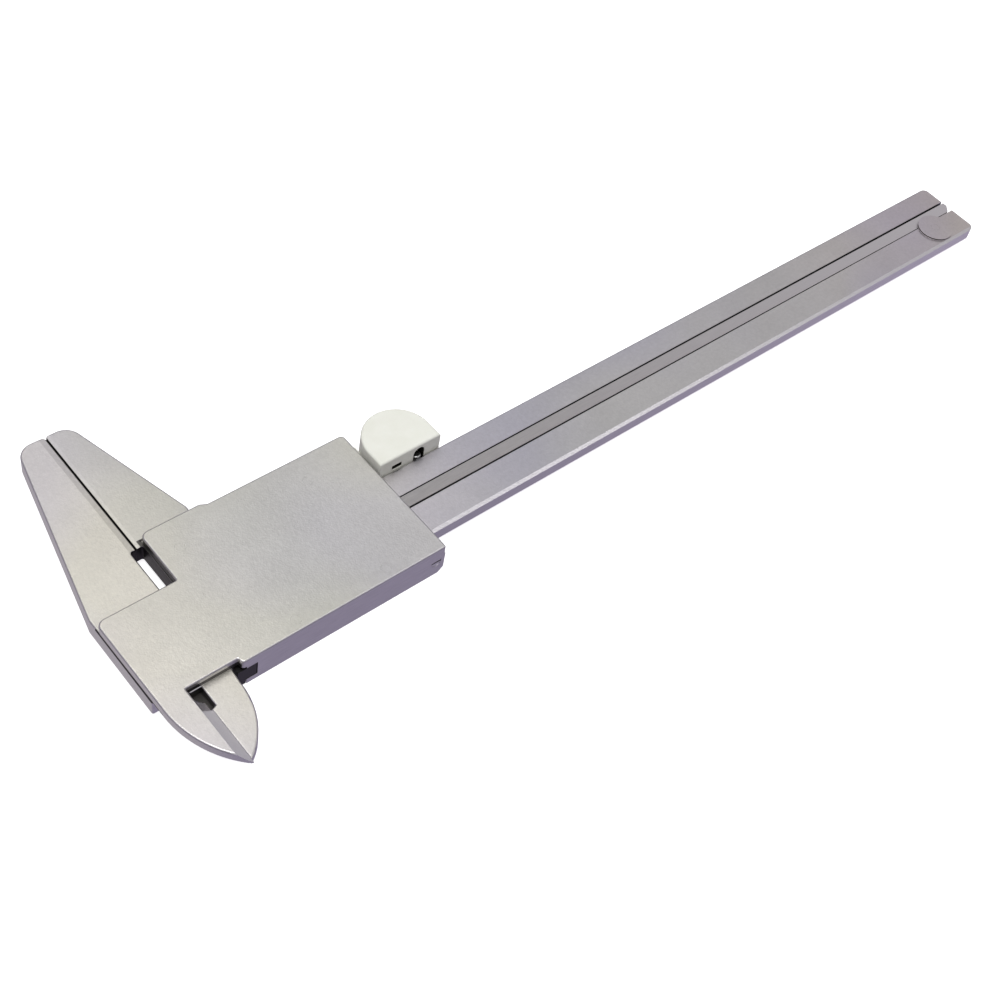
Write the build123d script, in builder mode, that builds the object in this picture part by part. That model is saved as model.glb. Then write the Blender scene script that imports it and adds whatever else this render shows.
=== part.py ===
from build123d import *
import os

os.makedirs("parts", exist_ok=True)

# A 150 mm vernier caliper with its jaws closed, lying on its front with its back up.
# x runs along the beam from the closed jaws to the tail, y across it towards the outside jaws,
# and z out of the back. Every dimension is in mm and is measured from the point where the
# contact plane of the jaws, the centreline of the beam and the beam's back face meet.

# beam, head and fixed jaws
beam_width = 16.0
beam_thick = 3.2
beam_end = 212.7
head_thick = 3.8
head_left = -14.8
head_low = -9.9
jaw_tip = 50.8
past_tip = jaw_tip + 1
thin_length = 22.0
relief_low = 8.05
relief_high = 18.9
knife_x = -7.45
knife_land = 0.3
root_low = -11.9
edge_radius = 0.4
bevel_width = 0.62
bevel_slope = 0.66
pit_left = -9.7
pit_right = -6.2
pit_depth = 1.9
jaw_low = -29.2
groove_y = 0.66
groove_width = 3.4
groove_depth = 1.6

# slider
slide_gap = 0.05
plate_top = 2.03
plate_right = 46.4
plate_low = -13.0
plate_high = 19.5
frame_left = 3.0
frame_front = -5.3
channel_front = -3.3
channel_low = -8.5
channel_high = 8.1
window = (4.0, 44.5)
window_half = 7.0
flange_front = -4.5

# depth rod and tail stop
rod_width = 2.7
rod_top = -0.12
rod_low = -1.45
rod_y = groove_y + 0.2
rod_lean = 0.32
rod_end = 212.65
stop_spot = (203.3, -3.2)
stop_radius = 4.1
stop_thick = 0.45

# thumb roller and its housing
roller_x = 56.6
roller_y = 9.05
shaft_radius = 1.0
spigot_radius = 0.88
neck_radius = 0.78
shaft_top = 0.15
wheel_radius = 5.6
wheel_low = -5.1
wheel_top = -3.5
grip_count = 36
housing_x = 54.4
housing_y = 12.2
housing_radius = 7.35
housing_low = -3.2
housing_top = 3.5
housing_face = 8.25

# fasteners, each given by where its axis stands, and how much wider than it a hole is
rivet_radius = 1.0
pin_radius = 0.78
gib_screw_radius = 1.17
vernier_screw_head = 1.3
vernier_screw_shank = 0.68
housing_screw_head = 1.5
housing_screw_shank = 0.76
play = 0.02
rivet_spots = [(6.0, 13.7), (34.0, 13.7), (14.0, -10.75), (34.0, -10.75)]
dowel_spots = [(20.0, 13.7), (24.0, -10.75)]
rod_pin_spots = [(12.0, rod_y), (30.0, rod_y)]
vernier_screw_spots = [(7.5, 10.2), (41.0, 10.2), (7.5, -10.2), (41.0, -10.2)]
housing_screw_spot = (43.0, 14.4)
gib_screw_x = 44.4
gib_screw_z = -1.6

# The origin of the model is under the middle of its box, on the surface that it lies on.
box_low = (head_left, jaw_low)
box_high = (beam_end, jaw_tip)
middle_x = (box_low[0] + box_high[0]) / 2
middle_y = (box_low[1] + box_high[1]) / 2
back = Plane(origin=(-middle_x, -middle_y, -frame_front))


def level(z):
    """The plane of the beam's back face, moved to height z."""
    return back.offset(z)


def across(y):
    """A plane across the caliper at y: its x is x, its y is z, and it faces -y."""
    return Plane(origin=back.from_local_coords((0, y, 0)), x_dir=(1, 0, 0), z_dir=(0, -1, 0))


def along(x):
    """A plane square to the beam at x: its x is y, its y is z, and it faces +x."""
    return Plane(origin=back.from_local_coords((x, 0, 0)), x_dir=(0, 1, 0), z_dir=(1, 0, 0))


def slab(x, y, z, mode=Mode.ADD):
    """A block between two values of x, of y and of z."""
    with Locations(((x[0] + x[1]) / 2, (y[0] + y[1]) / 2, (z[0] + z[1]) / 2)):
        Box(x[1] - x[0], y[1] - y[0], z[1] - z[0], mode=mode)


def rod(spots, radius, z, mode=Mode.ADD):
    """An upright cylinder between two values of z at each spot."""
    with Locations(*[(x, y, z[0]) for x, y in spots]):
        Cylinder(radius, z[1] - z[0], align=(Align.CENTER, Align.CENTER, Align.MIN), mode=mode)


def prism(plane, points, radii, amount, mode=Mode.ADD):
    """A closed outline, each corner rounded by its own radius, pulled out of a plane by an amount."""
    with BuildSketch(plane) as sketch:
        with BuildLine():
            FilletPolyline(*points, radius=radii, close=True)
        make_face()
    extrude(sketch.sketch, amount=amount, mode=mode)


def flat_screw(spots, head, shank, z, depth, mode=Mode.ADD):
    """A countersunk screw at each spot, its head flush at z and its shank going up from there."""
    sink = head - shank
    with Locations(*[(x, y, z) for x, y in spots]):
        Cone(head, shank, sink, align=(Align.CENTER, Align.CENTER, Align.MIN), mode=mode)
    rod(spots, shank, (z + sink, z + depth), mode)


groove = (groove_y - groove_width / 2, groove_y + groove_width / 2)
beam_edge = beam_width / 2

# The beam, the head and both fixed jaws are one piece of steel.
with BuildPart(back) as main_beam:
    beam_outline = [(-2, -beam_edge), (beam_end, -beam_edge), (beam_end, beam_edge), (-2, beam_edge)]
    prism(level(-beam_thick), beam_outline, [0, 1.6, 1.4, 0], beam_thick)
    head_outline = [
        (0, root_low),
        (0, relief_low),
        (-1.15, relief_low),
        (-1.15, relief_high),
        (0, relief_high),
        (0, jaw_tip),
        (-5.8, jaw_tip),
        (head_left, 10.4),
        (head_left, head_low),
        (-10.8, head_low),
        (pit_left, root_low),
    ]
    prism(level(-head_thick), head_outline, [0, 0, 0.3, 0.7, 0, 0.9, 3.6, 0, 0.4, 0.3, 0.3], head_thick)
    # fixed inside jaw, curved on its outer side and relieved at the root of its measuring edge
    with BuildSketch(level(-head_thick)):
        with BuildLine():
            Polyline((knife_x, -28.6), (knife_x, -16.6), (-6.4, -16.2), (-6.4, root_low + 0.5))
            Polyline((-6.4, root_low + 0.5), (0, root_low + 0.5), (-0.33, -14.75))
            ThreePointArc((-0.33, -14.75), (-2.27, -22.8), (knife_x, -28.6))
        make_face()
    extrude(amount=head_thick)
    # the relief beside its root is a pit with a floor
    slab((pit_left, pit_right), (-16.2, root_low + 0.5), (-head_thick, -pit_depth))
    # its measuring edge is a knife edge near the back face
    knife_outline = [(knife_x - 1, -1.2), (knife_x, -1.2), (knife_x + 2, -head_thick)]
    knife_outline += [(knife_x + 2, -head_thick - 1), (knife_x - 1, -head_thick - 1)]
    prism(across(-16.6), knife_outline, 0, 14, Mode.SUBTRACT)
    # its tip is thinned from the front
    tip_outline = [(-23.5, -head_thick), (-29, -0.9), (-30, -0.9), (-30, -head_thick - 1)]
    tip_outline += [(-23.5, -head_thick - 1)]
    prism(along(knife_x - 1), tip_outline, 0, 9, Mode.SUBTRACT)
    # the back's edges are rounded, and those of the beam's front a little less
    fillet(main_beam.edges().group_by(Axis.Z)[-1], edge_radius)
    beam_front = main_beam.edges().group_by(Axis.Z)[1]
    fillet([edge for edge in beam_front if edge.center().X + middle_x > 3], 0.3)
    # the lower long edge of the beam's back is bevelled
    bevel_start = -beam_edge + bevel_width
    bevel_end = -beam_edge - 1
    bevel_drop = (bevel_start - bevel_end) * bevel_slope
    bevel_outline = [(bevel_start, 0), (bevel_start, 1), (bevel_end, 1), (bevel_end, -bevel_drop)]
    prism(along(2), bevel_outline, 0, beam_end, Mode.SUBTRACT)
    # the outside jaw is thinned towards its measuring face, a little on the back and more on the front
    back_bevel = [(-1.3, 0), (0.5, 0.3), (0.5, -0.5), (0, -0.17)]
    prism(across(past_tip), back_bevel, 0, past_tip - relief_high, Mode.SUBTRACT)
    front_bevel = [(-3.2, -head_thick), (0, -2.4), (0.5, -2.2), (0.5, -4.5), (-3.2, -4.5)]
    prism(across(past_tip), front_bevel, 0, thin_length, Mode.SUBTRACT)
    # groove for the depth rod
    slab((2, beam_end + 1), groove, (-groove_depth, 1), Mode.SUBTRACT)
    rod([stop_spot], rivet_radius + play, (-beam_thick, 0), Mode.SUBTRACT)

# The round stop at the tail keeps the slider on the beam and the depth rod in its groove.
with BuildPart(back) as tail_stop:
    rod([stop_spot], stop_radius, (0, stop_thick))
    rod([stop_spot], rivet_radius + play, (0, stop_thick), Mode.SUBTRACT)

with BuildPart(back) as tail_stop_rivet:
    rod([stop_spot], rivet_radius, (-beam_thick, stop_thick))

# The back plate reaches over the fixed head and ends in the moving inside jaw.
with BuildPart(back) as back_plate:
    plate_outline = [
        (-14.73, -12.41),
        (head_left, relief_low),
        (1.55, relief_low),
        (1.55, 20.2),
        (14.2, 20.2),
        (15.6, plate_high),
        (plate_right, plate_high),
        (plate_right, plate_low),
        (1.15, plate_low),
        (1.15, -11.75),
        (-9.4, -11.75),
        (-9.4, -15.1),
        (-7.9, -15.1),
        (-7.9, -17.1),
        (knife_x, -17.1),
        (knife_x, jaw_low),
        (-8.2, -28.7),
    ]
    plate_radii = [1.6, 0.35, 1.5, 0.5, 0.5, 1.0, 0.45, 0.9, 0.2, 0.2, 0.9, 0.2, 0.1, 0, 0]
    with BuildSketch(level(slide_gap)):
        with BuildLine():
            FilletPolyline(*plate_outline, radius=plate_radii)
            ThreePointArc((-8.2, -28.7), (-13.08, -21.5), (-14.73, -12.41))
        make_face()
    extrude(amount=plate_top - slide_gap)
    fillet(back_plate.edges().group_by(Axis.Z)[-1], edge_radius)
    # its knife edge faces the fixed one, near the underside, below a broad bevel
    plate_bevel = [(-9.65, plate_top), (knife_x, knife_land), (knife_x + 1, knife_land), (knife_x + 1, 3)]
    prism(across(-13.5), plate_bevel, 0, 20, Mode.SUBTRACT)
    rod(rivet_spots, rivet_radius + play, (slide_gap, plate_top), Mode.SUBTRACT)
    rod(dowel_spots + rod_pin_spots, pin_radius + play, (slide_gap, 1.3), Mode.SUBTRACT)

# The frame wraps the beam from the front and carries the moving outside jaw.
with BuildPart(back) as slider_frame:
    jaw_outline = [
        (1.45, channel_high),
        (plate_right, channel_high),
        (plate_right, plate_high),
        (12.9, plate_high),
        (12.9, 22.4),
        (5.1, jaw_tip),
        (0.02, jaw_tip),
        (0.02, relief_high),
        (1.45, relief_high),
    ]
    prism(level(-head_thick), jaw_outline, [0, 0, 1.0, 0.4, 2.0, 3.6, 0.9, 0, 0.4], head_thick + slide_gap)
    slab((frame_left - 0.8, plate_right), (plate_low, channel_low), (frame_front, slide_gap))
    front_outline = [(frame_left, plate_low), (plate_right, plate_low)]
    front_outline += [(plate_right, plate_high), (frame_left, plate_high)]
    prism(level(frame_front), front_outline, [0, 0.3, 1.0, 1.5], channel_front - frame_front)
    jaw_edges = slider_frame.edges().group_by(Axis.Z)[-1]
    fillet([edge for edge in jaw_edges if edge.center().Y + middle_y > plate_high], edge_radius)
    # thinned measuring face of the jaw, as on the fixed one
    back_bevel = [(0.9, slide_gap), (-0.5, 0.3), (-0.5, -0.5), (0, -0.05)]
    prism(across(past_tip), back_bevel, 0, past_tip - relief_high, Mode.SUBTRACT)
    front_bevel = [(3.2, -head_thick), (0, -2.4), (-0.5, -2.2), (-0.5, -4.5), (3.2, -4.5)]
    prism(across(past_tip), front_bevel, 0, thin_length, Mode.SUBTRACT)
    # window over the scales, and the seats of the vernier plates on its long sides
    slab(window, (-window_half, window_half), (frame_front, channel_front), Mode.SUBTRACT)
    slab(window, (window_half - 1, 12.35), (frame_front, flange_front), Mode.SUBTRACT)
    slab(window, (-12.0, 1 - window_half), (frame_front, flange_front), Mode.SUBTRACT)
    rod(vernier_screw_spots, vernier_screw_shank + play, (flange_front, -2.4), Mode.SUBTRACT)
    rod(rivet_spots, rivet_radius + play, (-3.0, slide_gap), Mode.SUBTRACT)
    rod(dowel_spots, pin_radius + play, (-2.6, slide_gap), Mode.SUBTRACT)
    # gib screw hole and the notch for the gib's lug in the lower wall
    with BuildSketch(across(plate_low)):
        with Locations((gib_screw_x, gib_screw_z)):
            Circle(gib_screw_radius + play)
    extrude(amount=plate_low - channel_low, mode=Mode.SUBTRACT)
    slab((2, 4.5), (plate_low, -beam_edge), (-4.0, -0.45), Mode.SUBTRACT)
    # pocket for the tongue of the roller housing, screwed from the front
    slab((39.5, plate_right + 1), (11.4, 17.6), (-3.25, -0.55), Mode.SUBTRACT)
    head_hole = housing_screw_head + play
    shank_hole = housing_screw_shank + play
    flat_screw([housing_screw_spot], head_hole, shank_hole, frame_front, 2.1, Mode.SUBTRACT)
    # the front corner of its right end is cut off
    cut = 1.2
    corner = [(plate_right - cut, frame_front), (plate_right, frame_front + cut)]
    corner += [(plate_right + 1, frame_front + cut), (plate_right + 1, frame_front - 1)]
    corner += [(plate_right - cut, frame_front - 1)]
    prism(across(plate_high + 1), corner, 0, plate_high - plate_low + 2, Mode.SUBTRACT)

with BuildPart(back) as plate_rivets:
    rod(rivet_spots, rivet_radius, (-3.0, plate_top))

with BuildPart(back) as plate_dowels:
    rod(dowel_spots, pin_radius, (-2.5, 1.2))

# A flat gib takes up the play on the lower edge of the beam.
with BuildPart(back) as gib_strip:
    slab((2.7, 46.0), (-8.42, -8.06), (-3.15, -0.1))
    slab((2.0, 4.3), (-12.95, -8.42), (-3.85, -0.6))
    slab((0.4, 2.05), (-12.95, -8.42), (-5.1, -0.6))

with BuildPart(back) as gib_screw:
    with BuildSketch(across(channel_low)):
        with Locations((gib_screw_x, gib_screw_z)):
            Circle(gib_screw_radius)
    extrude(amount=channel_low - plate_low - 0.05)
    slab(
        (gib_screw_x - 2, gib_screw_x + 2),
        (plate_low, plate_low + 0.7),
        (gib_screw_z - 0.2, gib_screw_z + 0.2),
        Mode.SUBTRACT,
    )


def vernier_plate(side):
    """A screwed scale plate on one side of the window, bevelled down to the beam."""
    lip = 3.7
    seat = 12.3 if side > 0 else 11.95
    section = [
        (side * seat, frame_front),
        (side * seat, flange_front),
        (side * window_half, flange_front),
        (side * window_half, channel_front - 0.1),
        (side * lip, channel_front - 0.1),
        (side * lip, channel_front - 0.35),
        (side * (lip + 2.6), frame_front),
    ]
    spots = [spot for spot in vernier_screw_spots if spot[1] * side > 0]
    with BuildPart(back) as plate:
        prism(along(4.05), section, 0, 40.4)
        head_hole = vernier_screw_head + play
        flat_screw(spots, head_hole, vernier_screw_shank + play, frame_front, 1, Mode.SUBTRACT)
    return plate


metric_vernier = vernier_plate(1)
inch_vernier = vernier_plate(-1)

with BuildPart(back) as vernier_screws:
    flat_screw(vernier_screw_spots, vernier_screw_head, vernier_screw_shank, frame_front, 2.8)
    with Locations(*[(x, y, frame_front) for x, y in vernier_screw_spots]):
        Box(3, 0.35, 0.5, mode=Mode.SUBTRACT)

# The depth rod is pinned under the back plate and lies in the groove of the beam, leaning a
# little towards the groove's lower side at the tail.
with BuildPart(back) as depth_rod:
    rod_sides = (rod_y - rod_width / 2, rod_y + rod_width / 2)
    tail_sides = (rod_sides[0] - rod_lean, rod_sides[1] - rod_lean)
    rod_left = 6
    rod_outline = [
        (rod_left, rod_sides[0]),
        (rod_end - 1.4, tail_sides[0]),
        (rod_end, tail_sides[0] + 1.6),
        (rod_end, tail_sides[1]),
        (rod_left, rod_sides[1]),
    ]
    prism(level(rod_low), rod_outline, [0, 0.8, 0.3, 0.1, 0], rod_top - rod_low)
    slab((rod_left, 36), rod_sides, (rod_top, slide_gap))
    rod(rod_pin_spots, pin_radius + play, (-1.2, slide_gap), Mode.SUBTRACT)

with BuildPart(back) as rod_pins:
    rod(rod_pin_spots, pin_radius, (-1.1, 1.2))

# The housing of the thumb roller is moulded, with a rounded outer side, and hooks into the frame.
with BuildPart(back) as roller_housing:
    left = housing_x - housing_radius
    right = housing_x + housing_radius
    with BuildSketch(level(housing_low)):
        with BuildLine():
            Polyline((left, housing_y), (left, housing_face), (right, housing_face), (right, housing_y))
            ThreePointArc(
                (right, housing_y), (housing_x, housing_y + housing_radius), (left, housing_y)
            )
        make_face()
    extrude(amount=housing_top - housing_low)
    fillet(roller_housing.edges().group_by(Axis.Z)[-1], 0.5)
    slab((40, left + 1), (11.6, 17.4), (-3.05, -0.75))
    # arched slot that lets the shaft reach the edge of the beam
    arch_width = 2.7
    arch_top = 2.6
    arch_back = 10.7
    arch_shoulder = arch_top - arch_width / 2
    with BuildSketch(across(arch_back)):
        with Locations((roller_x, (arch_shoulder + housing_low) / 2)):
            Rectangle(arch_width, arch_shoulder - housing_low)
        with Locations((roller_x, arch_shoulder)):
            Circle(arch_width / 2)
    extrude(amount=arch_back - housing_face + 1, mode=Mode.SUBTRACT)
    # slot for the spring, and the small window in front of its end
    slab((49.0, 60.2), (9.7, 10.25), (housing_low, -0.9), Mode.SUBTRACT)
    slab((50.0, 52.4), (housing_face - 1, 9.6), (0, 1.25), Mode.SUBTRACT)
    rod([housing_screw_spot], housing_screw_shank + play, (-3.1, -1.1), Mode.SUBTRACT)

with BuildPart(back) as housing_screw:
    flat_screw([housing_screw_spot], housing_screw_head, housing_screw_shank, frame_front, 4.0)
    with Locations((*housing_screw_spot, frame_front)):
        Box(4, 0.45, 0.6, mode=Mode.SUBTRACT)

# A leaf spring presses the shaft against the beam and sits in the shaft's neck.
with BuildPart(back) as roller_spring:
    slab((49.3, 59.9), (9.86, 10.08), (-2.2, -1.2))

roller_spot = [(roller_x, roller_y)]

with BuildPart(back) as roller_shaft:
    rod(roller_spot, shaft_radius, (wheel_top, shaft_top))
    fillet(roller_shaft.edges().group_by(Axis.Z)[-1], 0.3)
    with Locations((roller_x, roller_y, -1.7)):
        Cylinder(shaft_radius + 1, 1.3, mode=Mode.SUBTRACT)
        Cylinder(neck_radius, 1.3)
    rod(roller_spot, spigot_radius, (wheel_low + 0.1, wheel_top))

with BuildPart(back) as thumb_wheel:
    rod(roller_spot, wheel_radius, (wheel_low, wheel_top))
    chamfer(thumb_wheel.edges().filter_by(GeomType.CIRCLE), 0.25)
    with Locations((roller_x, roller_y, wheel_low)):
        with PolarLocations(wheel_radius + 0.12, grip_count):
            Cylinder(
                0.3,
                wheel_top - wheel_low,
                align=(Align.CENTER, Align.CENTER, Align.MIN),
                mode=Mode.SUBTRACT,
            )
    rod(roller_spot, spigot_radius + play, (wheel_low, wheel_top), Mode.SUBTRACT)

with BuildPart(back) as wheel_washer:
    washer_top = -3.27
    rod(roller_spot, 2.2, (wheel_top, washer_top))
    rod(roller_spot, shaft_radius + play, (wheel_top, washer_top), Mode.SUBTRACT)

pieces = {
    "main_beam": main_beam,
    "tail_stop": tail_stop,
    "tail_stop_rivet": tail_stop_rivet,
    "back_plate": back_plate,
    "slider_frame": slider_frame,
    "plate_rivets": plate_rivets,
    "plate_dowels": plate_dowels,
    "gib_strip": gib_strip,
    "gib_screw": gib_screw,
    "metric_vernier": metric_vernier,
    "inch_vernier": inch_vernier,
    "vernier_screws": vernier_screws,
    "depth_rod": depth_rod,
    "rod_pins": rod_pins,
    "roller_housing": roller_housing,
    "housing_screw": housing_screw,
    "roller_spring": roller_spring,
    "roller_shaft": roller_shaft,
    "thumb_wheel": thumb_wheel,
    "wheel_washer": wheel_washer,
}
for name, piece in pieces.items():
    piece.part.label = name
    export_step(piece.part, f"parts/{name}.step")
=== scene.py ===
from math import pi, radians

import bmesh
import bpy
from mathutils import Matrix, Vector


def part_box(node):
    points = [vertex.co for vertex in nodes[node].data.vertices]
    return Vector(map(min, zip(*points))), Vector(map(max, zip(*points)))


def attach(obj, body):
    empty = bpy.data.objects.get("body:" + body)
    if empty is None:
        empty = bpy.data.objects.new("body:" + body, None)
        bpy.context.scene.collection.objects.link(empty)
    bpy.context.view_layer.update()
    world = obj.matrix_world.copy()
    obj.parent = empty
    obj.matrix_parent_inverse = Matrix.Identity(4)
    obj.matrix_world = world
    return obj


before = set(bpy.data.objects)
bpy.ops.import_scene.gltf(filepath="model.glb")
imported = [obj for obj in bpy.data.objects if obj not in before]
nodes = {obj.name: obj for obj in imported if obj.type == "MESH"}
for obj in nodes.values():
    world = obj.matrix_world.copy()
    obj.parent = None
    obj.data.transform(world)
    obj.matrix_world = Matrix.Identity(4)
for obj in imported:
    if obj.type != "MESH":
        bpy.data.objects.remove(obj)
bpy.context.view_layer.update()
scene = bpy.context.scene
scene.view_settings.view_transform = "Standard"

MM = 0.001
INCH = 25.4

# Sizes of the caliper in mm: how far the fixed jaw's outer edge is from its contact plane and its
# tip from the beam's centreline, the beam's thickness, and the sides of the rod's groove.
HEAD_LENGTH = 14.8
JAW_REACH = 50.8
BEAM_THICK = 3.2
GROOVE_LOW, GROOVE_HIGH = -1.04, 2.36

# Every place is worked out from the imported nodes: the closed jaws meet at jaw_x, the beam's
# centreline is beam_y, and its back and front faces are at back_z and front_z.
beam_low, beam_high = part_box("main_beam")
plate_low, plate_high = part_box("back_plate")
back_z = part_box("tail_stop")[0].z
front_z = back_z - BEAM_THICK * MM
jaw_x = beam_low.x + HEAD_LENGTH * MM
beam_y = beam_high.y - JAW_REACH * MM


def spot(x, y, z):
    """A place given in mm from where the jaws' contact plane, the centreline and the back meet."""
    return (jaw_x + x * MM, beam_y + y * MM, back_z + z * MM)


# Painted shade darkens the recesses, gaps and jaw seam. Each box is two corners and how dark it is
# inside.
BEAM_SHADE_BOXES = [
    # relief beside the outside jaw, and the line where its measuring face meets the other one
    (spot(-1.4, 8.1, -4), spot(2.2, 18.9, -0.12), 1.0),
    (spot(-0.16, 18.9, -0.35), spot(0.18, 51, 0.1), 1.0),
    # pit beside the inside jaw
    (spot(-9.7, -16.3, -4), spot(-6.3, -11.8, -0.25), 0.9),
    # gaps beside the depth rod, and the edges of the head under the back plate
    (spot(3, GROOVE_LOW, -2), spot(220, GROOVE_HIGH, -0.26), 1.0),
    (spot(-15.5, -13, -0.5), spot(-8.6, 8.15, -0.12), 0.95),
    (spot(-8.6, 7.95, -0.2), spot(-1.2, 8.15, 0.22), 0.8),
    # the wall of the stop at the tail
    (spot(198.8, -7.6, 0.12), spot(206.0, 1.2, 0.32), 1.0),
]
# painted shade in the slider's recesses and gaps
SLIDER_SHADE_BOXES = [
    # relief beside the outside jaw, and the line where its measuring face meets the other one
    (spot(-1.4, 8.1, -4), spot(2.2, 18.9, -0.12), 1.0),
    (spot(1.0, 8.1, 0.02), spot(1.75, 20.3, 1.5), 0.85),
    (spot(-0.16, 18.9, -0.35), spot(0.18, 51, 0.1), 1.0),
    # edges of the back plate over the pit, the head and the frame
    (spot(-9.6, -15.2, 0.12), spot(1.3, -11.6, 1.0), 0.9),
    (spot(-15.5, -13, 0.0), spot(-8.6, 8.15, 0.3), 0.95),
    (spot(-8.6, 7.9, 0.0), spot(-1.2, 8.15, 0.22), 0.9),
    (spot(1.5, 19.9, -0.1), spot(14.2, 20.3, 0.22), 0.9),
    # end of the lower wall, round the gib's lug
    (spot(0.3, -12.9, -4), spot(4.8, -8.0, -0.3), 1.0),
]
# painted shade in the housing's slot and window
HOUSING_SHADE_BOXES = [
    # arched slot round the shaft, and the spring's window
    (spot(55.2, 8.45, -3.3), spot(58.0, 10.75, 2.62), 1.0),
    (spot(49.95, 8.45, -0.05), spot(52.45, 9.7, 1.3), 1.0),
]
# The broad bevel of the moving inside jaw is ground dull inside this box.
DULL_BEVEL = (spot(-9.75, -29, 0.2), spot(-7.3, -17.15, 2.05))


# ---------------------------------------------------------------- materials
WORN_EDGE = (0.79, 0.765, 0.8, 1)
WORN_ROUGH = 0.28
# colours of the painted shade in the recesses of the steel and of the housing
PAINTED_SHADE = (0.03, 0.027, 0.026)
HOUSING_PAINTED_SHADE = (0.012, 0.011, 0.008)
# how much darker the housing's walls are painted: painted shade
HOUSING_WALL_SHADE = (0.84, 0.835, 0.84, 1)
SOFT_EDGE = 0.1 * MM


def tree(name):
    """A new node material, and functions that add a node to it and link two sockets."""
    material = bpy.data.materials.new(name)
    material.use_nodes = True
    nodes_of = material.node_tree.nodes
    nodes_of.clear()
    out = nodes_of.new("ShaderNodeOutputMaterial")
    shader = nodes_of.new("ShaderNodeBsdfPrincipled")
    link = material.node_tree.links.new
    link(shader.outputs["BSDF"], out.inputs["Surface"])

    def add(kind, **settings):
        node = nodes_of.new(kind)
        for key, value in settings.items():
            if key[0].isupper():
                node.inputs[key.replace("_", " ")].default_value = value
            else:
                setattr(node, key, value)
        return node

    return material, shader, add, link


def ramp(add, link, factor, stops):
    """A colour ramp: a list of (position, colour), fed by a factor."""
    node = add("ShaderNodeValToRGB")
    elements = node.color_ramp.elements
    while len(elements) < len(stops):
        elements.new(0.5)
    for element, (position, colour) in zip(elements, stops):
        element.position = position
        element.color = (*colour, 1)
    link(factor, node.inputs["Fac"])
    return node.outputs["Color"]


def spread(add, link, value, low, high):
    """A value from 0 to 1 mapped to low to high."""
    node = add("ShaderNodeMapRange", To_Min=low, To_Max=high)
    link(value, node.inputs["Value"])
    return node.outputs["Result"]


def mixed(add, link, kind, factor, first, second):
    """Two colours mixed by a factor, each given as a socket or a value."""
    node = add("ShaderNodeMix", data_type="RGBA", blend_type=kind)
    for socket, value in ((0, factor), (6, first), (7, second)):
        if isinstance(value, bpy.types.NodeSocket):
            link(value, node.inputs[socket])
        else:
            node.inputs[socket].default_value = value
    return node.outputs[2]


def inside(add, link, where, low, high):
    """A mask that is 1 inside a box, given by two corners, and fades out over a soft edge."""
    middle = [(a + b) / 2 for a, b in zip(low, high)]
    half = [(b - a) / 2 for a, b in zip(low, high)]
    offset = add("ShaderNodeVectorMath", operation="SUBTRACT")
    offset.inputs[1].default_value = middle
    link(where, offset.inputs[0])
    reach = add("ShaderNodeVectorMath", operation="ABSOLUTE")
    link(offset.outputs["Vector"], reach.inputs[0])
    outside = add("ShaderNodeVectorMath", operation="SUBTRACT")
    outside.inputs[1].default_value = half
    link(reach.outputs["Vector"], outside.inputs[0])
    split = add("ShaderNodeSeparateXYZ")
    link(outside.outputs["Vector"], split.inputs["Vector"])
    farthest = split.outputs["X"]
    for axis in "YZ":
        larger = add("ShaderNodeMath", operation="MAXIMUM")
        link(farthest, larger.inputs[0])
        link(split.outputs[axis], larger.inputs[1])
        farthest = larger.outputs["Value"]
    mask = add("ShaderNodeMapRange", From_Min=0.0, From_Max=SOFT_EDGE, To_Min=1.0, To_Max=0.0)
    link(farthest, mask.inputs["Value"])
    return mask.outputs["Result"]


def grimy(add, link, where, tone, boxes, shade_colour):
    """A colour that turns to painted shade inside any of the boxes."""
    for low, high, strength in boxes:
        mask = inside(add, link, where, low, high)
        if strength < 1:
            mask = spread(add, link, mask, 0.0, strength)
        tone = mixed(add, link, "MIX", mask, tone, (*shade_colour, 1))
    return tone


def facing_up(add, link):
    """How far a surface faces up (1) or down (-1)."""
    facing = add("ShaderNodeSeparateXYZ")
    link(add("ShaderNodeNewGeometry").outputs["Normal"], facing.inputs["Vector"])
    return facing.outputs["Z"]


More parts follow.
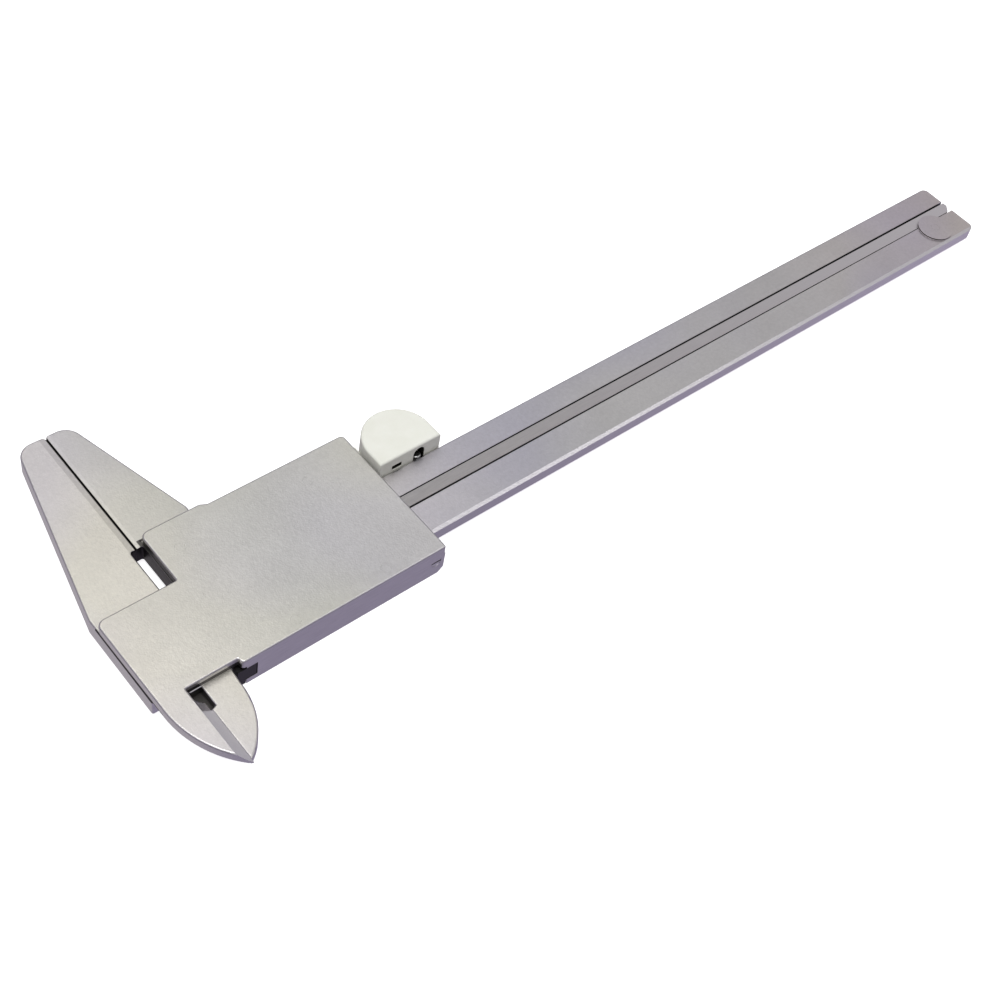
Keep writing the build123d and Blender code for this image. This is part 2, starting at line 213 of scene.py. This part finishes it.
def steel(name, ends, stops, sides, rough, boxes):
    """Bead-blasted steel: sparkling grains, small pits, worn edges, walls ground along the beam.

    The tone of its faces and that of its walls drift between two ends, given as places along X,
    through the stops of a ramp each, partly as painted light and shade. Painted shade fills the
    boxes.
    """
    material, shader, add, link = tree(name)
    where = add("ShaderNodeTexCoord").outputs["Object"]
    cloud = add("ShaderNodeTexNoise", Scale=45.0, Detail=2.0, Roughness=0.5)
    grit = add("ShaderNodeTexNoise", Scale=4200.0, Detail=2.0, Roughness=0.6)
    coarse = add("ShaderNodeTexNoise", Scale=1300.0, Detail=3.0, Roughness=0.7)
    pits = add("ShaderNodeTexVoronoi", Scale=1900.0)
    for texture in (cloud, grit, coarse, pits):
        link(where, texture.inputs["Vector"])
    # the tone drifts from end to end, partly its own tone and partly painted light and shade along
    # the piece
    place = add("ShaderNodeSeparateXYZ")
    link(where, place.inputs["Vector"])
    along = add("ShaderNodeMapRange", From_Min=ends[0], From_Max=ends[1])
    link(place.outputs["X"], along.inputs["Value"])
    tone = ramp(add, link, along.outputs["Result"], stops)
    # clouds of yellow and violet, and smaller dull patches
    hue = add("ShaderNodeTexNoise", Scale=24.0, Detail=1.0)
    dull = add("ShaderNodeTexNoise", Scale=130.0, Detail=3.0, Roughness=0.6)
    for texture in (hue, dull):
        link(where, texture.inputs["Vector"])
    clouds = [
        (hue, [(0.38, (0.96, 0.95, 1.0)), (0.62, (1.0, 0.995, 0.935))]),
        (cloud, [(0.35, (0.94,) * 3), (0.65, (1.0,) * 3)]),
        (dull, [(0.35, (0.965,) * 3), (0.6, (1.0,) * 3)]),
    ]
    for texture, shades in clouds:
        shade = ramp(add, link, texture.outputs["Fac"], shades)
        tone = mixed(add, link, "MULTIPLY", 1.0, tone, shade)
    speckle = ramp(add, link, coarse.outputs["Fac"], [(0.3, (0.9,) * 3), (0.7, (1.0,) * 3)])
    tone = mixed(add, link, "MULTIPLY", 1.0, tone, speckle)
    # upright walls are ground along the beam; their tone is partly painted shade and, towards the
    # beam's tail, a painted highlight
    level = add("ShaderNodeMath", operation="ABSOLUTE")
    link(facing_up(add, link), level.inputs[0])
    wall = add("ShaderNodeMapRange", From_Min=0.25, From_Max=0.6, To_Min=1.0, To_Max=0.0)
    link(level.outputs["Value"], wall.inputs["Value"])
    stretch = add("ShaderNodeMapping")
    stretch.inputs["Scale"].default_value = (0.06, 1.0, 1.0)
    link(where, stretch.inputs["Vector"])
    lines = add("ShaderNodeTexNoise", Scale=4200.0, Detail=3.0)
    link(stretch.outputs["Vector"], lines.inputs["Vector"])
    ground = ramp(add, link, along.outputs["Result"], sides)
    scored = ramp(add, link, lines.outputs["Fac"], [(0.3, (0.86,) * 3), (0.7, (1.0,) * 3)])
    ground = mixed(add, link, "MULTIPLY", 1.0, ground, scored)
    tone = mixed(add, link, "MIX", wall.outputs["Result"], tone, ground)
    # rounded edges are worn bright and smooth
    worn = add("ShaderNodeMapRange", From_Min=0.80, From_Max=0.985, To_Min=1.0, To_Max=0.0)
    link(level.outputs["Value"], worn.inputs["Value"])
    sloping = add("ShaderNodeMath", operation="SUBTRACT", use_clamp=True)
    link(worn.outputs["Result"], sloping.inputs[0])
    link(wall.outputs["Result"], sloping.inputs[1])
    worn = sloping.outputs["Value"]
    tone = mixed(add, link, "MIX", worn, tone, WORN_EDGE)
    # painted shade inside the boxes
    tone = grimy(add, link, where, tone, boxes, PAINTED_SHADE)
    link(tone, shader.inputs["Base Color"])
    blasted = spread(add, link, coarse.outputs["Fac"], rough - 0.05, rough + 0.05)
    smooth = add("ShaderNodeMix", data_type="FLOAT")
    link(worn, smooth.inputs[0])
    link(blasted, smooth.inputs[2])
    smooth.inputs[3].default_value = WORN_ROUGH
    link(smooth.outputs[0], shader.inputs["Roughness"])
    bevel = add("ShaderNodeMath", operation="MULTIPLY")
    link(inside(add, link, where, *DULL_BEVEL), bevel.inputs[0])
    link(worn, bevel.inputs[1])
    link(spread(add, link, bevel.outputs["Value"], 1.0, 0.45), shader.inputs["Metallic"])
    height = add("ShaderNodeMath", operation="ADD")
    link(grit.outputs["Fac"], height.inputs[0])
    link(spread(add, link, pits.outputs["Distance"], 0.0, 0.7), height.inputs[1])
    bump = add("ShaderNodeBump", Strength=0.9, Distance=0.00002)
    link(height.outputs["Value"], bump.inputs["Height"])
    link(bump.outputs["Normal"], shader.inputs["Normal"])
    return material


def plain_metal(name, colour, rough, scale, stretch=(1, 1, 1), far=None):
    """Turned, rolled or worn metal, with fine lines or grains. Its colour may drift to another one
    at the tail."""
    material, shader, add, link = tree(name)
    where = add("ShaderNodeMapping")
    where.inputs["Scale"].default_value = stretch
    link(add("ShaderNodeTexCoord").outputs["Object"], where.inputs["Vector"])
    lines = add("ShaderNodeTexNoise", Scale=scale, Detail=4.0, Roughness=0.6)
    link(where.outputs["Vector"], lines.inputs["Vector"])
    fac = lines.outputs["Fac"]
    tone = ramp(add, link, fac, [(0.3, [0.8 * c for c in colour]), (0.7, colour)])
    if far:
        place = add("ShaderNodeSeparateXYZ")
        link(add("ShaderNodeTexCoord").outputs["Object"], place.inputs["Vector"])
        along = add("ShaderNodeMapRange", From_Min=plate_high.x, From_Max=beam_high.x)
        link(place.outputs["X"], along.inputs["Value"])
        tone = mixed(add, link, "MIX", along.outputs["Result"], tone, (*far, 1))
    link(tone, shader.inputs["Base Color"])
    link(spread(add, link, fac, rough - 0.06, rough + 0.1), shader.inputs["Roughness"])
    shader.inputs["Metallic"].default_value = 1.0
    bump = add("ShaderNodeBump", Strength=0.25, Distance=0.00001)
    link(fac, bump.inputs["Height"])
    link(bump.outputs["Normal"], shader.inputs["Normal"])
    return material


def moulded(name, light, dark, rough, boxes=()):
    """Moulded plastic with a fine eroded texture, a faint cloudy tone and painted shade on walls
    and in openings.
    """
    material, shader, add, link = tree(name)
    where = add("ShaderNodeTexCoord").outputs["Object"]
    cloud = add("ShaderNodeTexNoise", Scale=260.0, Detail=4.0, Roughness=0.6)
    fine = add("ShaderNodeTexNoise", Scale=5200.0, Detail=2.0)
    for texture in (cloud, fine):
        link(where, texture.inputs["Vector"])
    tone = ramp(add, link, cloud.outputs["Fac"], [(0.3, dark), (0.65, light)])
    # its walls are painted a little darker: painted shade
    wall = add("ShaderNodeMapRange", From_Min=0.2, From_Max=0.7, To_Min=1.0, To_Max=0.0)
    link(facing_up(add, link), wall.inputs["Value"])
    tone = mixed(add, link, "MULTIPLY", wall.outputs["Result"], tone, HOUSING_WALL_SHADE)
    # painted shade in the openings
    tone = grimy(add, link, where, tone, boxes, HOUSING_PAINTED_SHADE)
    link(tone, shader.inputs["Base Color"])
    uneven = spread(add, link, fine.outputs["Fac"], rough - 0.08, rough + 0.1)
    link(uneven, shader.inputs["Roughness"])
    bump = add("ShaderNodeBump", Strength=0.35, Distance=0.00002)
    link(fine.outputs["Fac"], bump.inputs["Height"])
    link(bump.outputs["Normal"], shader.inputs["Normal"])
    return material


def ink(name, colour):
    """The paint filled into the graduations, slightly uneven."""
    material, shader, add, link = tree(name)
    patchy = add("ShaderNodeTexNoise", Scale=2500.0, Detail=3.0)
    link(add("ShaderNodeTexCoord").outputs["Object"], patchy.inputs["Vector"])
    paler = [0.06 + c for c in colour]
    tone = ramp(add, link, patchy.outputs["Fac"], [(0.4, colour), (0.8, paler)])
    link(tone, shader.inputs["Base Color"])
    link(spread(add, link, patchy.outputs["Fac"], 0.4, 0.65), shader.inputs["Roughness"])
    return material


# Each ramp goes from one end of the piece to the other, with painted light and shade along it as
# well as its tone.
beam_faces = [
    (0.0, (0.80, 0.775, 0.74)),
    (0.16, (0.80, 0.765, 0.74)),
    (0.4, (0.70, 0.69, 0.735)),
    (0.75, (0.72, 0.70, 0.755)),
    (1.0, (0.78, 0.71, 0.74)),
]
beam_sides = [(0.3, (0.66, 0.65, 0.66)), (1.0, (0.98, 0.96, 0.95))]
slider_faces = [(0.0, (0.79, 0.76, 0.735)), (0.55, (0.69, 0.685, 0.67)), (1.0, (0.79, 0.78, 0.745))]
slider_sides = [(0.0, (0.66, 0.65, 0.66)), (1.0, (0.66, 0.65, 0.66))]
beam_ends = (beam_low.x, beam_high.x)
slider_ends = (plate_low.x, plate_high.x)
beam_steel = steel("beam_steel", beam_ends, beam_faces, beam_sides, 0.42, BEAM_SHADE_BOXES)
slider_steel = steel("slider_steel", slider_ends, slider_faces, slider_sides, 0.42, SLIDER_SHADE_BOXES)
rod_steel = plain_metal(
    "rod_steel", (0.52, 0.5, 0.505), 0.38, 5000.0, (0.05, 1, 1), (0.74, 0.70, 0.735)
)
scale_chrome = plain_metal("scale_chrome", (0.78, 0.78, 0.77), 0.34, 3000.0)
turned_steel = plain_metal("turned_steel", (0.6, 0.6, 0.6), 0.32, 4200.0)
# near-black steel for the gib strip, partly painted shade where its lug fills the gap at the end of
# the slider's lower wall
blackened_steel_and_shade = plain_metal("blackened_steel_and_shade", (0.05, 0.048, 0.05), 0.4, 4000.0, (0.06, 1, 1))
spring_steel = plain_metal("spring_steel", (0.42, 0.42, 0.45), 0.35, 5000.0, (0.06, 1, 1))
roller_steel = plain_metal("roller_steel", (0.66, 0.66, 0.66), 0.3, 3600.0)
ivory = moulded("ivory_plastic", (0.93, 0.935, 0.86), (0.89, 0.895, 0.81), 0.5, HOUSING_SHADE_BOXES)
black_nylon = moulded("black_nylon", (0.06, 0.06, 0.06), (0.04, 0.04, 0.04), 0.5)
black_ink = ink("black_ink", (0.012, 0.012, 0.014))


# ---------------------------------------------------------------- CAD pieces
def finish_node(name, material):
    """Gives a CAD node its material."""
    data = nodes[name].data
    data.materials.clear()
    data.materials.append(material)


FINISHES = {
    beam_steel: ["main_beam", "tail_stop", "tail_stop_rivet"],
    slider_steel: ["back_plate", "slider_frame", "plate_rivets", "gib_screw"],
    scale_chrome: ["metric_vernier", "inch_vernier"],
    turned_steel: ["plate_dowels", "vernier_screws", "rod_pins", "housing_screw"],
    blackened_steel_and_shade: ["gib_strip"],
    rod_steel: ["depth_rod"],
    spring_steel: ["roller_spring"],
    roller_steel: ["roller_shaft", "thumb_wheel"],
    ivory: ["roller_housing"],
    black_nylon: ["wheel_washer"],
}
for finish, names in FINISHES.items():
    for name in names:
        finish_node(name, finish)


# ---------------------------------------------------------------- graduations
# in mm: where the scales' zero is, and how wide and how proud a stroke of ink is
ZERO_X = 5.0
STROKE = 0.13
INK_THICK = 0.012


def marks(name, strokes, numbers, surface, body):
    """Ink-filled strokes and numerals on a surface.

    A stroke is (x, start, end, width) and a number is (text, x, height of its middle, size), all in
    mm. The surface is a matrix whose x runs along the scale, y up the page and z out of the metal.
    """
    mesh = bmesh.new()
    for x, start, end, width in strokes:
        place = Matrix.Translation((x * MM, (start + end) / 2 * MM, 0))
        size = Matrix.Diagonal((width * MM, abs(end - start) * MM, 2 * INK_THICK * MM, 1))
        bmesh.ops.create_cube(mesh, size=1, matrix=place @ size)
    for text, x, y, size in numbers:
        curve = bpy.data.curves.new("numeral", "FONT")
        curve.body = text
        curve.align_x = "CENTER"
        curve.align_y = "CENTER"
        curve.size = size * MM
        curve.extrude = INK_THICK * MM
        curve.resolution_u = 3
        holder = bpy.data.objects.new("numeral", curve)
        shape = bpy.data.meshes.new_from_object(holder)
        shape.transform(Matrix.Translation((x * MM, y * MM, 0)))
        mesh.from_mesh(shape)
        bpy.data.objects.remove(holder)
    data = bpy.data.meshes.new(name)
    mesh.to_mesh(data)
    mesh.free()
    data.transform(surface)
    data.materials.append(black_ink)
    piece = bpy.data.objects.new(name, data)
    scene.collection.objects.link(piece)
    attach(piece, body)


def page(y, z, slope=0.0):
    """A surface on the front of the caliper, its zero at the scales' zero and height y from the
    centreline, tipped about the beam's direction by a slope in radians."""
    zero = Matrix.Translation((jaw_x + ZERO_X * MM, beam_y + y * MM, z))
    return zero @ Matrix.Rotation(pi + slope, 4, "X")


# Millimetres run along the lower edge of the beam, and sixteenths of an inch along the upper one.
# A stroke starts near the edge of the beam and reaches further in the more it stands for.
ROW = 4.2
METRIC_END = 190
INCH_END = 7
strokes = []
for i in range(METRIC_END + 1):
    reach = 1.5 if i % 10 == 0 else 1.95 if i % 5 == 0 else 2.4
    strokes.append((i, -ROW, -reach, STROKE))
numbers = [(str(i), 10 * i, -0.72, 1.5) for i in range(METRIC_END // 10 + 1)]
marks("metric_main_scale", strokes, numbers, page(0, front_z), "beam")

strokes = []
for i in range(16 * INCH_END + 1):
    reach = 1.5 if i % 16 == 0 else 1.8 if i % 8 == 0 else 2.1 if i % 4 == 0 else 2.4
    strokes.append((i * INCH / 16, ROW, reach, STROKE))
numbers = [(str(i), i * INCH, 0.75, 1.5) for i in range(INCH_END + 1)]
marks("inch_main_scale", strokes, numbers, page(0, front_z), "beam")

# The verniers are on the slopes of their plates, whose lips are LIP from the centreline and stand
# LIP_PROUD off the beam: 20 divisions over 39 mm, and 8 over seven sixteenths of an inch.
LIP = 3.7
LIP_PROUD = 0.45
LIP_SLOPE = 0.5656
lip_z = front_z - LIP_PROUD * MM
metric_step = 39 / 20
strokes = []
for i in range(21):
    reach = 1.3 if i % 2 == 0 else 0.95
    strokes.append((i * metric_step, -0.1, -reach, STROKE))
numbers = [(str(i), 2 * i * metric_step, -2.1, 1.3) for i in range(11)]
marks("metric_vernier_marks", strokes, numbers, page(LIP, lip_z, -LIP_SLOPE), "slider")

inch_step = 7 * INCH / 128
strokes = []
for i in range(9):
    reach = 1.3 if i % 4 == 0 else 0.95
    strokes.append((i * inch_step, 0.1, reach, STROKE))
numbers = [(str(i), i * inch_step, 2.1, 1.3) for i in (0, 4, 8)]
marks("inch_vernier_marks", strokes, numbers, page(-LIP, lip_z, LIP_SLOPE), "slider")


# ---------------------------------------------------------------- studio
def floor():
    """A large pale floor that glows like a light table, so that shadows on it stay faint."""
    mesh = bpy.data.meshes.new("floor")
    size = 3.0
    corners = [(-size, -size, 0), (size, -size, 0), (size, size, 0), (-size, size, 0)]
    mesh.from_pydata(corners, [], [(0, 1, 2, 3)])
    piece = bpy.data.objects.new("floor", mesh)
    scene.collection.objects.link(piece)
    material, shader, add, link = tree("floor_paper")
    fibre = add("ShaderNodeTexNoise", Scale=900.0, Detail=3.0)
    link(add("ShaderNodeTexCoord").outputs["Object"], fibre.inputs["Vector"])
    paper = ramp(add, link, fibre.outputs["Fac"], [(0, (0.9,) * 3), (1, (0.93,) * 3)])
    link(paper, shader.inputs["Base Color"])
    shader.inputs["Roughness"].default_value = 0.9
    shader.inputs["Emission Color"].default_value = (1, 1, 1, 1)
    shader.inputs["Emission Strength"].default_value = 0.75
    mesh.materials.append(material)
    piece.visible_glossy = False
    piece.visible_diffuse = False


def softbox(name, place, target, size, power):
    """A soft area light at a place, turned to a target."""
    light = bpy.data.lights.new(name, "AREA")
    light.shape = "RECTANGLE"
    light.size, light.size_y = size
    light.energy = power
    piece = bpy.data.objects.new(name, light)
    piece.location = place
    piece.rotation_euler = (Vector(target) - Vector(place)).to_track_quat("-Z", "Y").to_euler()
    scene.collection.objects.link(piece)


def sky():
    """Soft light from above, a dark band at the horizon, and violet light from below."""
    world = bpy.data.worlds.new("studio")
    scene.world = world
    world.use_nodes = True
    nodes_of = world.node_tree.nodes
    link = world.node_tree.links.new
    where = nodes_of.new("ShaderNodeTexCoord")
    split = nodes_of.new("ShaderNodeSeparateXYZ")
    link(where.outputs["Generated"], split.inputs["Vector"])
    height = nodes_of.new("ShaderNodeMapRange")
    height.inputs["From Min"].default_value = -1
    link(split.outputs["Z"], height.inputs["Value"])
    tone = nodes_of.new("ShaderNodeValToRGB")
    elements = tone.color_ramp.elements
    for _ in range(2):
        elements.new(0.5)
    below = (0.38, 0.34, 0.46)
    band = (0.10, 0.09, 0.12)
    bright = (0.60, 0.56, 0.60, 1)
    stops = [(0.40, below), (0.455, band), (0.61, band), (0.74, (0.55,) * 3)]
    for element, (position, colour) in zip(elements, stops):
        element.position = position
        element.color = (*colour, 1)
    link(height.outputs["Result"], tone.inputs["Fac"])
    # from beyond the jaws the light from below is brighter and less violet
    across = nodes_of.new("ShaderNodeMath")
    across.operation = "SUBTRACT"
    link(split.outputs["Y"], across.inputs[0])
    link(split.outputs["X"], across.inputs[1])
    beyond = nodes_of.new("ShaderNodeMapRange")
    beyond.inputs["From Min"].default_value = 0.2
    beyond.inputs["From Max"].default_value = 0.7
    link(across.outputs["Value"], beyond.inputs["Value"])
    low = nodes_of.new("ShaderNodeMapRange")
    low.inputs["From Min"].default_value = -0.25
    low.inputs["From Max"].default_value = -0.4
    link(split.outputs["Z"], low.inputs["Value"])
    both = nodes_of.new("ShaderNodeMath")
    both.operation = "MULTIPLY"
    link(beyond.outputs["Result"], both.inputs[0])
    link(low.outputs["Result"], both.inputs[1])
    warmer = nodes_of.new("ShaderNodeMix")
    warmer.data_type = "RGBA"
    link(both.outputs["Value"], warmer.inputs[0])
    link(tone.outputs["Color"], warmer.inputs[6])
    warmer.inputs[7].default_value = bright
    link(warmer.outputs[2], nodes_of["Background"].inputs["Color"])


def camera():
    """The camera: an ordinary lens held above the jaws, looking along the beam, a little tilted."""
    data = bpy.data.cameras.new("camera")
    data.lens = 57.75
    data.sensor_width = 36
    data.shift_x = 0.0042
    data.shift_y = -0.0022
    data.clip_start = 0.01
    piece = bpy.data.objects.new("camera", data)
    piece.location = (-0.18665, -0.1465, 0.2423)
    look = Vector((0.4879, 0.4137, -0.7686))
    turn = look.to_track_quat("-Z", "Y").to_matrix().to_4x4()
    tilt = Matrix.Rotation(radians(12.72), 4, "Z")
    piece.matrix_world = Matrix.Translation(piece.location) @ turn @ tilt
    scene.collection.objects.link(piece)
    scene.camera = piece


floor()
sky()
softbox("key", (0.0068, 0.2116, 0.35), (0.0068, 0.2116, 0), (0.07, 0.22), 0.056)
softbox("top", (-0.25, -0.1, 0.9), (0, 0, 0), (0.6, 0.6), 3.5)
softbox("edge", (0.4, -0.38, 0.6), (0, 0, 0), (0.2, 0.2), 0.19)
softbox("rim", (-0.16, 0.3, 0.65), (-0.09, 0, 0), (0.12, 0.12), 0.14)
camera()
